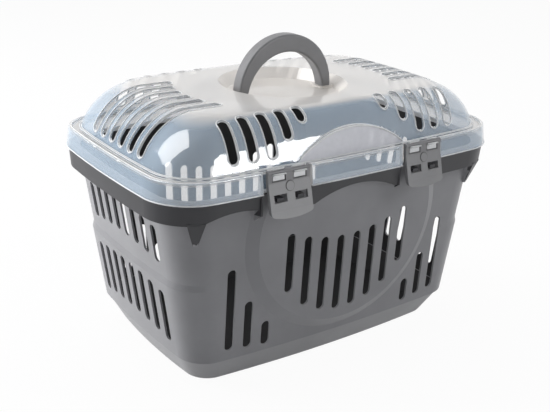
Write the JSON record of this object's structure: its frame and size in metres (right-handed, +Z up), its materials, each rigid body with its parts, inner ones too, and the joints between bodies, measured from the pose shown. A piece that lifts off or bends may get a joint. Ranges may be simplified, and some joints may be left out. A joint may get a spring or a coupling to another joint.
{
  "type": "pet carrier",
  "caption": "Slotted plastic tub with a translucent domed lid, an arched carrying handle, snap clips at the front and a hinge behind, for carrying a small animal.",
  "frame": {"origin": "on the ground under the middle of the tub", "axes": "+X along the length to the right as seen from the front, -Y towards the front with its two clips, +Z up"},
  "size_m": [0.4798, 0.3208, 0.3665],
  "materials": {
    "tub_plastic": "satin moulded polypropylene, metallic grey",
    "lid_plastic": "frosted translucent polypropylene, faintly blue",
    "handle_plastic": "satin moulded polypropylene, grey",
    "clip_plastic": "satin moulded polypropylene, light grey"
  },
  "bodies": {
    "tub": {"basket": "tub_plastic"},
    "top": {"lid": "lid_plastic", "handle": "handle_plastic"},
    "front_clip_left": {"front_clip_left": "clip_plastic"},
    "front_clip_right": {"front_clip_right": "clip_plastic"}
  },
  "joints": [
    {"name": "lid_hinge", "type": "hinge", "parent": "tub", "child": "top", "pos_m": [0, 0.155, 0.229], "axis": [-1, 0, 0], "range_deg": [0, 100]},
    {"name": "front_clip_left_pivot", "type": "hinge", "parent": "top", "child": "front_clip_left", "pos_m": [-0.0955, -0.1485, 0.2573], "axis": [-1, 0, 0], "range_deg": [0, 95]},
    {"name": "front_clip_right_pivot", "type": "hinge", "parent": "top", "child": "front_clip_right", "pos_m": [0.0955, -0.1485, 0.2573], "axis": [-1, 0, 0], "range_deg": [0, 95]}
  ]
}
